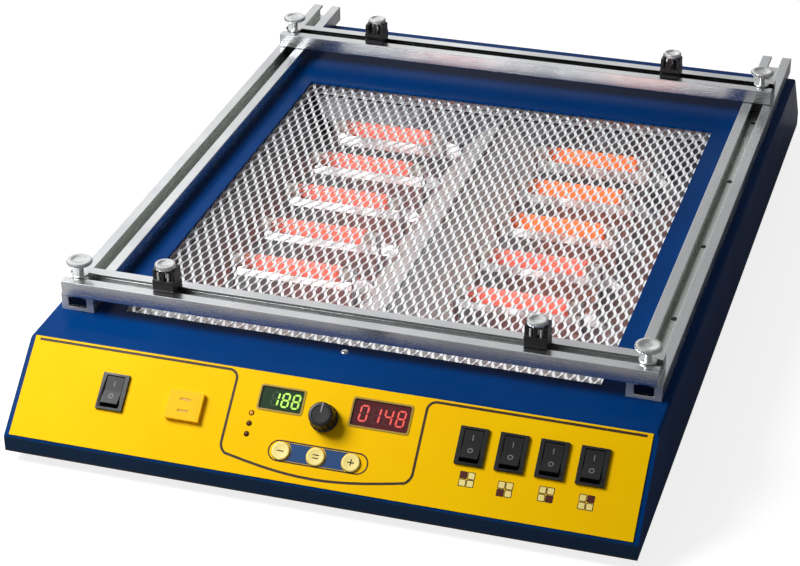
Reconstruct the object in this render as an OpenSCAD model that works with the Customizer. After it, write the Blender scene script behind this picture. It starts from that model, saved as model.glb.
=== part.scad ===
// Bench-top infrared preheating and reflow station: a low wedge-shaped housing with twelve
// lamps under an expanded-metal grille, and a rail frame with clamps that holds the board above it.
// X runs to the right, Y to the back and Z up. The origin is on the bench, under the middle.

/* [Housing] */
// Width of the housing
body_w = 360; // [340:2:420]
// Depth of the housing at its foot, front to back
body_d = 542; // [530:2:620]
// Height of the sloped front and rear faces
slope_h = 41; // [39:1:50]
// Height of the upright lip under the sloped faces
lip_h = 9.5; // [8:0.5:14]
// How far the control face slopes back
front_run = 46; // [44:1:52]
// How far the rear face slopes forward
back_run = 34; // [28:1:40]
// Sheet thickness of the top cover
cover_t = 1.5; // [1:0.1:2]
// Sheet thickness of the base plate
base_t = 1.2; // [1:0.1:2]
// Outer radius of the sheet-metal bends
bend_r = 2.5; // [2:0.1:4]
// Width of the cover's inward flange that the base plate is screwed to
flange_w = 13; // [11:1:18]

/* [Feet and fasteners] */
// Height of a rubber foot
foot_h = 7; // [5:0.5:12]
// Diameter of a rubber foot at the base plate
foot_d = 20; // [18:1:26]
// Distance of the feet from the housing's sides
foot_inset = 30; // [28:1:50]
// Diameter of the case screws
case_screw_d = 3; // [2.5:0.1:4]
// Case screws along each side
case_screw_n = 5; // [3:1:7]

/* [Heating window] */
// Distance from the housing's sides to the window
win_side = 40; // [36:1:52]
// Depth of the window, front to back
win_d = 328; // [300:2:340]
// Distance from the top's front edge to the window
win_front = 37; // [34:1:44]
// How far the grille reaches under the cover on each side
grille_lap = 7; // [5:0.5:8]
// Thickness of the grille
grille_t = 1; // [0.8:0.1:1.4]
// Width of one grille mesh
mesh_x = 16; // [14:1:24]
// Length of one grille mesh
mesh_y = 32; // [26:1:44]
// Width of a grille strand
strand = 2.4; // [1.6:0.1:3]
// Thickness of the frame that backs the grille
frame_t = 2.5; // [2:0.1:3]

/* [Heater] */
// Sheet thickness of the heater tray
tray_t = 1; // [0.8:0.1:1.4]
// Height of the spacers under the heater tray
spacer_h = 5; // [4:0.5:8]
// Thickness of the insulation board
insul_t = 11.5; // [8:0.5:13]
// Depth of a reflector trough
refl_h = 23; // [18:1:23]
// Sheet thickness of a reflector
refl_t = 0.8; // [0.6:0.1:1]
// Run of a reflector's sloping sides
refl_side = 22; // [16:1:26]
// Run of a reflector's sloping ends
refl_end = 16; // [12:1:20]
// Lamps in each column
lamp_rows = 6; // [4:2:6]
// Distance from one lamp to the next
lamp_pitch = 48; // [42:1:50]
// Depth of the lamp axes below the top
lamp_depth = 10; // [9.5:0.5:13]
// Diameter of a lamp's quartz tube
lamp_d = 10; // [8:0.5:11]
// Length of a lamp's quartz tube
tube_l = 60; // [50:1:70]
// Wall thickness of a quartz tube
tube_t = 1; // [0.8:0.1:1.4]
// Length of a lamp's ceramic end cap
cap_l = 8; // [6:0.5:10]
// Diameter of a lamp's ceramic end cap
cap_d = 8; // [6:0.5:9]
// Diameter of the coiled filament
filament_d = 2.4; // [1.6:0.1:4]

/* [Holder rails] */
// Width of the slotted rails
rail_w = 20; // [18:1:24]
// Height of the side rails
side_rail_h = 10.5; // [10:0.5:14]
// Height of the cross rails
cross_rail_h = 9.2; // [9:0.2:12]
// Width of the slot in a rail
slot_w = 7; // [6.5:0.5:9]
// Thickness of the lips beside the slot
lip_t = 2; // [1.6:0.1:2.5]
// Thickness of a rail's floor
rail_t = 2.5; // [2:0.1:3]
// Thickness of a rail's side walls
rail_side_t = 4.5; // [2.5:0.1:5]
// Distance of a side rail's centre line from the housing's side
rail_inset = 15; // [13:0.5:20]
// How far the side rails reach past the top's back edge
rail_back = 10; // [4:1:16]
// Distance from the top's front edge to the side rails' front ends
rail_front = 29; // [26:1:36]
// How far a cross rail reaches past the side rails' centre lines
rail_over = 8; // [7:0.5:13]
// Distance of the front cross rail's centre from the side rails' front ends
front_rail_in = 7; // [7:1:40]
// Distance of the back cross rail's centre from the side rails' back ends
back_rail_in = 70; // [50:1:90]

/* [Clamps and thumbscrews] */
// Diameter of the thumbscrew threads
thread_d = 4; // [3:0.5:5]
// Diameter of a rail lock screw's head
lock_head_d = 15; // [12:1:18]
// Height of a rail lock screw's head above the cross rail
lock_head_z = 8; // [7:0.5:12]
// Thickness of a rail lock screw's head
lock_head_t = 2.4; // [2:0.1:4]
// Diameter of a clamp screw's head
clamp_head_d = 12; // [11:0.5:14]
// Thickness of a clamp screw's head
clamp_head_t = 2.6; // [2:0.1:4]
// Diameter of a clamp screw's collar
collar_d = 6; // [5.5:0.5:6.5]
// Length of a clamp block along its rail
clamp_l = 13; // [12.5:0.5:18]
// Depth of a clamp block across its rail
clamp_d = 13; // [12.5:0.5:18]
// Shift of a clamp block from its rail's centre line toward the board
clamp_in = 1.5; // [0:0.5:1.5]
// Height of a clamp block
clamp_h = 6.5; // [6:0.5:9]
// Height of the clamp's upright ribs
rib_h = 6; // [4:0.5:8]
// Thickness of the clamp's upright ribs
rib_t = 2.2; // [1.6:0.1:2.6]
// Place of the front left clamp, to the left of the middle
clamp_fl = 112; // [70:1:125]
// Place of the front right clamp, to the right of the middle
clamp_fr = 104; // [70:1:125]
// Place of the back clamps on each side of the middle
clamp_back = 104; // [70:1:125]
// Height of the groove that holds the board's edge
groove_h = 2; // [1.4:0.1:2.4]
// Depth of the groove that holds the board's edge
groove_d = 2.5; // [2:0.1:3.5]

/* [Control face] */
// Thickness of the printed overlay
overlay_t = 0.6; // [0.4:0.1:1]
// Margin of the overlay at the top and bottom of the control face
overlay_gap = 1.4; // [1.4:0.1:3]
// Margin of the overlay at its sides
overlay_side = 3; // [2.5:0.5:6]
// Width of a rocker switch bezel
switch_w = 15.5; // [15:0.5:17]
// Length of a rocker switch bezel
switch_l = 21; // [20:0.5:24]
// Height of a rocker switch bezel
bezel_h = 1.6; // [1.2:0.1:2.4]
// Depth of a rocker switch body
switch_depth = 15; // [14:0.5:18]
// Width of a rocker
rocker_w = 10; // [9:0.5:10.5]
// Length of a rocker
rocker_l = 16; // [14:0.5:16.5]
// Tilt of a rocker at rest, pressed in at its upper end
rocker_tilt = 8; // [6:0.5:9]
// Distance of the power switch from the housing's left side
power_in = 57; // [40:1:62]
// Place of the power switch below the top edge
power_v = 27; // [24:0.5:30]
// Distance of the last zone switch from the housing's right side
zone_in = 31; // [28:1:34]
// Distance from one zone switch to the next
zone_pitch = 22; // [20:0.5:22.5]
// Place of the zone switches below the top edge
zone_v = 24.3; // [22:0.1:30]
// Width of the thermocouple socket
socket_w = 20; // [17:0.5:22]
// Length of the thermocouple socket
socket_l = 16.5; // [15:0.5:18]
// How far the thermocouple socket stands out
socket_h = 3; // [2:0.5:4]
// Place of the thermocouple socket, to the left of the middle
socket_u = 79.5; // [74:0.5:84]
// Place of the thermocouple socket below the top edge
socket_v = 28.3; // [24:0.1:32]
// Width of the green display
green_w = 25; // [22:0.5:26]
// Height of the green display
green_l = 13.4; // [11:0.1:14]
// Width of the red display
red_w = 33; // [28:0.5:34]
// Height of the red display
red_l = 15.6; // [12:0.1:16]
// Place of the green display, to the left of the middle
green_u = 26.6; // [26:0.1:30]
// Place of the red display, to the right of the middle
red_u = 30.3; // [30:0.1:34]
// Place of the displays below the top edge
display_v = 15.6; // [14:0.1:17]
// Place of the dial below the top edge
dial_v = 22.5; // [20:0.1:24]
// Diameter of the dial knob
dial_d = 16; // [13:0.5:17]
// Height of the dial knob
dial_h = 9; // [7:0.5:14]
// Diameter of the dial's shaft
shaft_d = 6; // [4:0.5:6.5]
// Diameter of a push button
button_d = 10; // [8:0.5:11]
// Distance from one push button to the next
button_pitch = 20; // [16:0.5:20]
// Place of the push buttons below the top edge
button_v = 44; // [42:0.5:46]
// How far a push button stands out
button_h = 1.4; // [1.2:0.1:2]
// Place of the indicator lights, to the left of the middle
led_u = 41.5; // [41:0.1:44]
// Place of the first indicator light below the top edge
led_v = 25.6; // [25:0.1:27]
// Distance from one indicator light to the next
led_pitch = 6; // [4:0.1:7]
// Diameter of an indicator light
led_d = 2.4; // [1.5:0.1:3]

/* [Electronics] */
// Distance of the control board behind the control face
board_gap = 10; // [9:0.5:12]
// Width of the control board
board_w = 112; // [106:2:120]
// Thickness of the circuit boards
board_t = 1.6; // [1.2:0.1:2]
// Width of the power board
power_board_w = 130; // [110:2:160]
// Depth of the power board
power_board_d = 52; // [44:1:58]
// Height of the power board's spacers
board_spacer_h = 6; // [4:0.5:10]
// Height of the heat sink
sink_h = 22; // [16:1:26]
// Depth of the heat sink
sink_d = 36; // [30:1:44]
// Thickness of a heat sink fin
fin_t = 1.6; // [1.2:0.1:2]
// Fins on the heat sink
fin_n = 7; // [4:1:9]
// Width of the mains inlet flange
inlet_w = 31; // [29:0.5:34]
// Height of the mains inlet flange
inlet_l = 24.5; // [23:0.5:27]
// Thickness of the mains inlet flange
inlet_t = 3; // [2:0.5:4]
// Depth of the mains inlet recess
inlet_depth = 15; // [12:0.5:17]
// Distance of the mains inlet from the housing's right side, as seen from the front
inlet_in = 60; // [42:2:80]
// Distance from the mains inlet to the fuse holder
fuse_gap = 34; // [30:1:50]
// Diameter of the fuse holder's cap
fuse_d = 15; // [13:0.5:18]

/* [Clearances] */
// Gap between sliding pieces
slide_gap = 0.3; // [0.25:0.05:0.4]
// Radial clearance of turning shafts in their bores
fit_gap = 0.06; // [0.03:0.01:0.1]
// Gap around pieces that pass through a sheet
pass_gap = 0.4; // [0.3:0.05:0.6]

/* [Hidden] */
$fn = 48;
eps = 0.02;
big = 2 * body_d;

// Fasteners and pins
foot_screw_d = 4;
rail_screw_d = 4;
rail_screw_l = 8;
spacer_screw_d = 3;
nut_l = 12;

// Switches, socket, dial and boards
pin_d = 2.4;
pin_l = 0.7;
rocker_pivot = -2.5;
rocker_top = 4.2;
bezel_lap = 1.2;
inlet_lap = 2.2;
socket_depth = 14;
bush_d = shaft_d + 1.6;
pot_d = 16;
tact_w = 6;
tact_h = 3;
tact_gap = 1.1;
board_v = 8;
post_w = 5;
cut = 8;
pin_size = [2, 4];
pin_places = [[-7, -2], [7, -2], [0, 2.5]];
vent_n = 12;
vent_w = 3.5;
vent_pitch = 9;

// Places across the width
win_w = body_w - 2 * win_side;
rail_pitch = body_w - 2 * rail_inset;
cross_rail_l = rail_pitch + 2 * rail_over;
power_u = body_w / 2 - power_in;
inlet_x = body_w / 2 - inlet_in;
zone_u = body_w / 2 - zone_in - 3 * zone_pitch;
zone_mid = zone_u + 1.5 * zone_pitch;

// Heights
sensor_d = 2.4;
z_base = foot_h;
z_floor = foot_h + base_t;
z_lip = foot_h + lip_h;
z_top = z_lip + slope_h;
z_under = z_top - cover_t;
z_cross = z_top + side_rail_h + slide_gap;
z_cross_top = z_cross + cross_rail_h;
z_frame = z_under - grille_t - frame_t;
z_tray = z_floor + spacer_h;
z_rim = z_tray + tray_t + insul_t + refl_h;
z_pan = z_rim - refl_h + refl_t;
z_sensor = z_rim + sensor_d / 2 + 0.2;

// Places along Y
y_edge = body_d / 2;
y_front = -y_edge + front_run;
y_back = y_edge - back_run;
win_y0 = y_front + win_front;
win_y = win_y0 + win_d / 2;
rail_y0 = y_front + rail_front;
rail_y1 = y_back + rail_back;
side_rail_l = rail_y1 - rail_y0;
front_rail_y = rail_y0 + front_rail_in;
back_rail_y = rail_y1 - back_rail_in;
power_x = -body_w / 2 + 45 + power_board_w / 2;
power_y = win_y0 + win_d + grille_lap + 6 + power_board_d / 2;

// Slopes of the front and rear faces
beta = atan(slope_h / front_run);
gamma = atan(slope_h / back_run);
face_l = norm([front_run, slope_h]);
rear_l = norm([back_run, slope_h]);

// One corner of an outline, rounded to radius r with points on the arc
function rounded(a, b, c, r, n = 6) =
  let (u = (a - b) / norm(a - b), v = (c - b) / norm(c - b),
       half = acos(u * v) / 2, m = (u + v) / norm(u + v),
       centre = b + m * r / sin(half), start = b + u * r / tan(half) - centre,
       turn = (u.x * v.y - u.y * v.x > 0 ? 1 : -1) * (2 * half - 180))
  [for (i = [0:n]) let (t = turn * i / n)
    centre + [start.x * cos(t) - start.y * sin(t), start.x * sin(t) + start.y * cos(t)]];

// Side outline of the cover, moved inward by t, with its bends rounded to radius r
function side_outline(t, z0, r) =
  let (p = [
    [-y_edge + t, z0],
    [-y_edge + t, z_lip - t * tan(45 - beta / 2)],
    [y_front + t * tan(beta / 2), z_top - t],
    [y_back - t * tan(gamma / 2), z_top - t],
    [y_edge - t, z_lip - t * tan(45 - gamma / 2)],
    [y_edge - t, z0]])
  concat([p[0]], rounded(p[0], p[1], p[2], r), rounded(p[1], p[2], p[3], r),
    rounded(p[2], p[3], p[4], r), rounded(p[3], p[4], p[5], r), [p[5]]);

// Front outline of the cover, moved inward by t, with its upper bends rounded to radius r
function front_outline(t, z0, r) =
  let (x = body_w / 2 - t, z = z_top - t)
  concat([[-x, z0]], rounded([-x, z0], [-x, z], [x, z], r),
    rounded([-x, z], [x, z], [x, z0], r), [[x, z0]]);

module cover_block(t, z0, r) {
  intersection() {
    rotate([90, 0, 90]) linear_extrude(big, center = true) polygon(side_outline(t, z0, r));
    rotate([90, 0, 0]) linear_extrude(big, center = true) polygon(front_outline(t, z0, r));
  }
}

// A box given by its size and the middle of its bottom
module block(size, at = [0, 0, 0]) {
  translate([at.x - size.x / 2, at.y - size.y / 2, at.z]) cube(size);
}

// Places children on the control face: u to the right of the middle, v below the top edge
module on_face(u, v) {
  translate([0, y_front, z_top]) rotate([beta, 0, 0]) translate([u, -v, 0]) children();
}

// Places children on the rear face: x in the part's own frame, v below the top edge
module on_rear(x, v) {
  translate([0, y_back, z_top]) rotate([0, 0, 180]) rotate([gamma, 0, 0]) translate([-x, -v, 0])
    children();
}

// ---- Housing ----

// Places children at each foot
module at_feet() {
  for (x = [-1, 1], y = [-1, 1])
    translate([x * (body_w / 2 - foot_inset), y * (y_edge - foot_inset), z_base]) children();
}

// Places children at each case screw, under the cover's flange
module at_case_screws() {
  inset = cover_t + flange_w / 2;
  span = body_d - 6 * inset;
  for (x = [-1, 1], i = [0:case_screw_n - 1])
    translate([x * (body_w / 2 - inset), -span / 2 + span * i / (case_screw_n - 1), z_base]) children();
  for (x = [-1, 1], y = [-1, 1])
    translate([x * body_w / 5, y * (y_edge - inset), z_base]) children();
}

module at_tray_spacers() {
  for (x = [-1, 1], y = [-1, 0, 1])
    translate([x * win_w / 3, win_y + y * win_d * 0.4, z_floor]) children();
}

module at_power_spacers() {
  inset = [power_board_w / 2 - post_w, power_board_d / 2 - post_w];
  for (x = [-1, 1], y = [-1, 1])
    translate([power_x + x * inset.x, power_y + y * inset.y, z_floor]) children();
}

module base_plate() {
  slot = [3, 40];
  slot_pitch = 12;
  color([0.14, 0.15, 0.18]) difference() {
    block([body_w, body_d, base_t], [0, 0, z_base]);
    at_case_screws() cylinder(d = case_screw_d + 2 * fit_gap, h = 4 * base_t, center = true);
    at_feet() cylinder(d = foot_screw_d + 2 * fit_gap, h = 4 * base_t, center = true);
    for (i = [-5:5], y = [win_y - win_d / 4, win_y + win_d / 4])
      block([slot.x, slot.y, 3 * base_t], [i * slot_pitch, y, z_base - base_t]);
    for (i = [-5:1])
      block([slot.x, slot.y / 2, 3 * base_t], [zone_mid + i * slot_pitch, y_front, z_base - base_t]);
  }
}

module top_cover() {
  inner_w = body_w - 2 * (cover_t + flange_w);
  inner_d = body_d - 2 * (cover_t + flange_w);
  color([0.0, 0.24, 0.55]) difference() {
    cover_block(0, z_floor, bend_r);
    cover_block(cover_t, z_floor + cover_t, bend_r - cover_t + 0.1);
    block([inner_w, inner_d, 3 * cover_t], [0, 0, z_floor - cover_t]);
    block([win_w, win_d, 3 * cover_t], [0, win_y, z_under - cover_t]);
    at_case_screws() cylinder(d = case_screw_d + 2 * fit_gap, h = 4 * lip_h, center = true);
    at_rail_screws() cylinder(d = rail_screw_d + 2 * fit_gap, h = 6 * cover_t, center = true);
    face_holes(cover_t);
    rear_holes();
  }
}

module feet() {
  color([0.06, 0.06, 0.06]) at_feet() difference() {
    translate([0, 0, -foot_h]) cylinder(d1 = foot_d - 3, d2 = foot_d, h = foot_h);
    cylinder(d = foot_screw_d + 2 * fit_gap, h = 3 * foot_h, center = true);
    translate([0, 0, -foot_h - eps]) cylinder(d = 2 * foot_screw_d + 1, h = foot_h / 2 + eps);
  }
}

// A pan-head screw with its shank up, its head under Z = 0
module screw(d, shank) {
  cylinder(d = d, h = shank);
  translate([0, 0, -0.6 * d]) cylinder(d = 2 * d, h = 0.6 * d);
}

module case_screws() {
  color([0.7, 0.7, 0.72]) {
    at_case_screws() screw(case_screw_d, base_t + cover_t + 2);
    at_feet() translate([0, 0, -foot_h / 2]) screw(foot_screw_d, foot_h / 2 + base_t + 2);
  }
}

// ---- Control face ----

// Places children at each zone switch
module at_zone(i) {
  on_face(zone_u + i * zone_pitch, zone_v) children();
}

// Places children at each push button, counted from the left
module at_button(i) {
  on_face((i - 1) * button_pitch, button_v) children();
}

module at_leds() {
  for (i = [0:2]) on_face(-led_u, led_v + i * led_pitch) children();
}

// Cut-outs for what the control face carries, through a sheet of the given thickness
module face_holes(t) {
  h = 4 * t;
  wide = 2 * pass_gap;
  narrow = wide - 2 * bezel_lap;
  on_face(-power_u, power_v) block([switch_w + narrow, switch_l + narrow, h], [0, 0, -h / 2]);
  for (i = [0:3]) at_zone(i) block([switch_w + narrow, switch_l + narrow, h], [0, 0, -h / 2]);
  on_face(-socket_u, socket_v) block([socket_w + narrow, socket_l + narrow, h], [0, 0, -h / 2]);
  on_face(-green_u, display_v) block([green_w + wide, green_l + wide, h], [0, 0, -h / 2]);
  on_face(red_u, display_v) block([red_w + wide, red_l + wide, h], [0, 0, -h / 2]);
  on_face(0, dial_v) cylinder(d = bush_d + 2 * pass_gap, h = h, center = true);
  for (i = [0:2]) at_button(i) cylinder(d = button_d + 2 * slide_gap, h = h, center = true);
  at_leds() cylinder(d = led_d + 2 * pass_gap, h = h, center = true);
}

module front_overlay() {
  w = body_w - 2 * overlay_side;
  l = face_l - 2 * overlay_gap;
  color([1.0, 0.82, 0.05]) difference() {
    on_face(0, face_l / 2) block([w, l, overlay_t]);
    face_holes(cover_t);
  }
}

// Body of a rocker switch on the face, open at the top for the rocker
module switch_body() {
  well = [rocker_w + 2 * pass_gap, rocker_l + 2.4, switch_depth - 5];
  blade = [4.8, 0.8, 7];
  core = [switch_w - 2 * bezel_lap, switch_l - 2 * bezel_lap, switch_depth + overlay_t];
  difference() {
    union() {
      block([switch_w, switch_l, bezel_h], [0, 0, overlay_t]);
      block(core, [0, 0, -switch_depth]);
    }
    block([well.x, well.y, well.z + bezel_h + overlay_t], [0, 0, eps - well.z]);
    translate([0, 0, rocker_pivot]) rotate([0, 90, 0])
      cylinder(d = pin_d + 2 * fit_gap, h = rocker_w + 2 * pin_l + 2 * slide_gap, center = true);
  }
  for (y = [-1, 0, 1])
    block([blade.x, blade.y, blade.z + 1], [0, y * core.y / 3, -switch_depth - blade.z]);
}

// A rocker in its switch, tilted to its rest position, with its two pivot pins
module rocker() {
  half = rocker_l / 2;
  color([0.05, 0.05, 0.06])
  translate([0, 0, rocker_pivot]) rotate([-rocker_tilt, 0, 0]) {
    rotate([90, 0, 90]) linear_extrude(rocker_w, center = true)
      polygon([[-half, 1.5], [-half, rocker_top + 1.4], [0, rocker_top], [half, rocker_top + 1.4],
        [half, 1.5], [3, -3], [-3, -3]]);
    rotate([0, 90, 0]) cylinder(d = pin_d, h = rocker_w + 2 * pin_l, center = true);
  }
}

module power_switch_body() {
  color([0.08, 0.08, 0.09]) on_face(-power_u, power_v) switch_body();
}

module zone_switch_bodies() {
  color([0.08, 0.08, 0.09]) for (i = [0:3]) at_zone(i) switch_body();
}

module power_rocker() { on_face(-power_u, power_v) rocker(); }

module zone_rocker(i) { at_zone(i) rocker(); }

module thermocouple_socket() {
  core = [socket_w - 2 * bezel_lap, socket_l - 2 * bezel_lap, socket_depth + overlay_t];
  slot = [socket_w * 0.3, 1, socket_depth];
  color([0.95, 0.78, 0.1]) on_face(-socket_u, socket_v) difference() {
    union() {
      block([socket_w, socket_l, socket_h], [0, 0, overlay_t]);
      block(core, [0, 0, -socket_depth]);
    }
    for (y = [-1, 1])
      block(slot, [0, y * socket_l * 0.2, socket_h + overlay_t + eps - socket_depth + 2]);
  }
}

// A display module that stands on the control board and fills its window
module display(w, l) {
  block([w, l, board_gap + cover_t], [0, 0, -board_gap - cover_t]);
}

module green_display() {
  color([0.1, 0.35, 0.12]) on_face(-green_u, display_v) display(green_w, green_l);
}

module red_display() {
  color([0.35, 0.05, 0.05]) on_face(red_u, display_v) display(red_w, red_l);
}

module indicator_lights() {
  color([0.9, 0.3, 0.1]) at_leds()
    translate([0, 0, -board_gap - cover_t]) cylinder(d = led_d, h = board_gap + cover_t + overlay_t);
}

module push_button(i) {
  stem = board_gap + cover_t - tact_h - tact_gap;
  color([0.98, 0.93, 0.6]) at_button(i)
    translate([0, 0, -stem]) cylinder(d = button_d, h = stem + overlay_t + button_h);
}

module dial_potentiometer() {
  body_h = board_gap - 1.5;
  color([0.6, 0.6, 0.62]) on_face(0, dial_v) difference() {
    union() {
      translate([0, 0, -cover_t - body_h]) cylinder(d = pot_d, h = body_h);
      translate([0, 0, -cover_t - eps]) cylinder(d = bush_d, h = cover_t + overlay_t + 2);
      translate([0, 0, overlay_t]) cylinder(d = bush_d + 4, h = 1.2);
    }
    translate([0, 0, -cover_t - body_h + 1.5])
      cylinder(d = shaft_d + 2 * fit_gap, h = 3 * body_h);
  }
}

module dial_knob() {
  seat = overlay_t + 2 + slide_gap;
  skirt = overlay_t + 1.2 + slide_gap;
  color([0.1, 0.1, 0.1]) on_face(0, dial_v) {
    difference() {
      translate([0, 0, skirt]) cylinder(d1 = dial_d, d2 = dial_d - 2, h = dial_h);
      translate([0, 0, skirt - eps]) cylinder(d = bush_d + 4 * slide_gap, h = seat - skirt + eps);
      translate([0, dial_d / 2, skirt + dial_h]) cube([0.8, dial_d * 0.7, 1], center = true);
    }
    translate([0, 0, 2 + slide_gap - cover_t - board_gap + 1.5])
      cylinder(d = shaft_d, h = board_gap + cover_t - 3.5 + seat);
  }
}

module control_board() {
  top = -cover_t - board_gap;
  l = face_l * 0.72;
  mid = top - board_t / 2;
  color([0.1, 0.4, 0.2]) {
    on_face(0, board_v + l / 2) block([board_w, l, board_t], [0, 0, top - board_t]);
    for (i = [0:2]) at_button(i) block([tact_w, tact_w, tact_h + board_t / 2], [0, 0, mid]);
    for (x = [-1, 1], y = [-1, 1])
      on_face(x * (board_w / 2 - post_w), board_v + l / 2 + y * (l / 2 - post_w))
        block([post_w, post_w, board_gap + board_t / 2], [0, 0, mid]);
  }
}

// ---- Heater ----

module grille() {
  w = win_w + 2 * grille_lap;
  d = win_d + 2 * grille_lap;
  nx = floor(win_w / mesh_x);
  ny = floor(win_d / mesh_y);
  hx = (mesh_x - strand * 1.2) / 2;
  hy = (mesh_y - strand * 1.5) / 2;
  color([0.75, 0.76, 0.78]) translate([0, win_y, z_under - grille_t]) linear_extrude(grille_t)
    difference() {
      square([w, d], center = true);
      for (i = [0:nx - 1], j = [0:ny - 1])
        translate([(i - (nx - 1) / 2) * mesh_x, (j - (ny - 1) / 2) * mesh_y])
          polygon([[hx, 0], [0, hy], [-hx, 0], [0, -hy]]);
      for (i = [0:nx - 2], j = [0:ny - 2])
        translate([(i - (nx - 2) / 2) * mesh_x, (j - (ny - 2) / 2) * mesh_y])
          polygon([[hx, 0], [0, hy], [-hx, 0], [0, -hy]]);
    }
}

// A rectangular ring, its outside given and its rim width
module ring(w, d, rim, h) {
  difference() {
    block([w, d, h]);
    block([w - 2 * rim, d - 2 * rim, 3 * h], [0, 0, -h]);
  }
}

module grille_frame() {
  color([0.6, 0.6, 0.62]) translate([0, win_y, z_frame])
    ring(win_w + 2 * grille_lap, win_d + 2 * grille_lap, grille_lap - 1, frame_t);
}

module heater_tray() {
  w = win_w + 2 * grille_lap - 2;
  d = win_d + 2 * grille_lap - 2;
  color([0.7, 0.71, 0.73]) difference() {
    block([w, d, z_frame - z_tray], [0, win_y, z_tray]);
    block([w - 2 * tray_t, d - 2 * tray_t, z_frame], [0, win_y, z_tray + tray_t]);
    translate([0, win_y + d / 2, z_sensor]) rotate([90, 0, 0])
      cylinder(d = sensor_d + 2 * fit_gap, h = 6 * tray_t, center = true);
    at_tray_spacers() cylinder(d = spacer_screw_d, h = z_tray + tray_t);
  }
}

module insulation_board() {
  rim = 2 * grille_lap - 2 * tray_t - 3;
  w = win_w + rim;
  d = win_d + rim;
  color([0.92, 0.9, 0.85]) block([w, d, insul_t], [0, win_y, z_tray + tray_t]);
}

module tray_spacers() {
  color([0.7, 0.7, 0.72]) {
    at_tray_spacers() cylinder(d = 8, h = spacer_h, $fn = 6);
    at_power_spacers() cylinder(d = 6, h = board_spacer_h, $fn = 6);
  }
}

// Outline of a trough of width w and depth h with sloping sides, and its top at the given height
function trough_outline(w, h, side, top) = [
  [-w / 2, top], [w / 2, top], [w / 2, -1], [w / 2 - side, -h], [-w / 2 + side, -h], [-w / 2, -1]];

// A flat-floored trough with sloping sides and ends, moved inward by t
module trough(t, top) {
  w = win_w / 2 - 1 - 2 * t;
  d = win_d - 2 * t;
  h = refl_h - t;
  intersection() {
    rotate([90, 0, 0]) linear_extrude(big, center = true)
      polygon(trough_outline(w, h, refl_side, top));
    rotate([90, 0, 90]) linear_extrude(big, center = true)
      polygon(trough_outline(d, h, refl_end, top));
  }
}

module reflector(side) {
  color([0.88, 0.89, 0.9]) translate([side * win_w / 4, win_y, z_rim]) difference() {
    trough(0, 0);
    trough(refl_t, 1);
  }
}

// Places children at the middle of a lamp: side -1 is left, row 0 is at the front
module at_lamp(side, row) {
  translate([side * win_w / 4, win_y + (row - (lamp_rows - 1) / 2) * lamp_pitch, z_top - lamp_depth])
    rotate([0, 90, 0]) children();
}

// The lamps of one quarter: half is 0 in front and 1 behind
module lamps(side, half) {
  n = lamp_rows / 2;
  color([1.0, 0.5, 0.3]) for (i = [0:n - 1]) at_lamp(side, half * n + i) difference() {
    cylinder(d = lamp_d, h = tube_l, center = true);
    cylinder(d = lamp_d - 2 * tube_t, h = tube_l + 1, center = true);
  }
}

module all_lamps() {
  for (side = [-1, 1], row = [0:lamp_rows - 1]) at_lamp(side, row) children();
}

module lamp_filaments() {
  color([1.0, 0.35, 0.1]) all_lamps() cylinder(d = filament_d, h = tube_l, center = true, $fn = 24);
}

module lamp_end_caps() {
  color([0.95, 0.94, 0.9]) all_lamps() for (s = [-1, 1])
    translate([0, 0, s * (tube_l + cap_l) / 2]) cylinder(d = cap_d, h = cap_l, center = true, $fn = 24);
}

module lamp_holders() {
  x = tube_l / 2 + cap_l;
  foot = 6;
  sheet = 1;
  h = z_top - lamp_depth + cap_d / 2 - z_pan;
  color([0.8, 0.8, 0.78]) for (side = [-1, 1], row = [0:lamp_rows - 1], s = [-1, 1])
    translate([side * win_w / 4 + s * x, win_y + (row - (lamp_rows - 1) / 2) * lamp_pitch, z_pan]) {
      block([sheet, cap_d, h], [s * sheet / 2, 0, 0]);
      block([foot, cap_d, sheet], [s * (sheet - foot / 2), 0, 0]);
    }
}

module plate_sensor() {
  l = win_d / 2 + grille_lap + 8;
  color([0.8, 0.8, 0.82]) translate([0, win_y + l, z_sensor]) rotate([90, 0, 0])
    cylinder(d = sensor_d, h = l, $fn = 24);
}

// ---- Rail frame ----

// A slotted rail along X with its slot up, its middle at the origin of its bottom face
module slotted_rail(l, h) {
  inner = rail_w - 2 * rail_side_t;
  rotate([90, 0, 90]) linear_extrude(l, center = true) difference() {
    translate([-rail_w / 2, 0]) square([rail_w, h]);
    translate([-inner / 2, rail_t]) square([inner, h - rail_t - lip_t]);
    translate([-slot_w / 2, rail_t]) square([slot_w, h]);
  }
}

module at_rail_screws() {
  for (x = [-1, 1], i = [0:3])
    translate([x * rail_pitch / 2, rail_y0 + side_rail_l * (0.19 + 0.2 * i), z_top]) children();
}

module side_rail(side) {
  color([0.78, 0.79, 0.8]) difference() {
    translate([side * rail_pitch / 2, rail_y0 + side_rail_l / 2, z_top]) rotate([0, 0, 90])
      slotted_rail(side_rail_l, side_rail_h);
    at_rail_screws() cylinder(d = rail_screw_d + 2 * fit_gap, h = 4 * rail_t, center = true);
  }
}

// Countersunk screws flush with the floors of the side rails
module rail_screws() {
  color([0.7, 0.7, 0.72]) at_rail_screws()
    translate([0, 0, rail_t - rail_screw_l]) cylinder(d = rail_screw_d, h = rail_screw_l);
}

// Places children at a lock screw: side is -1 for left and 1 for right
module at_lock(side, y) {
  translate([side * rail_pitch / 2, y, 0]) children();
}

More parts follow.
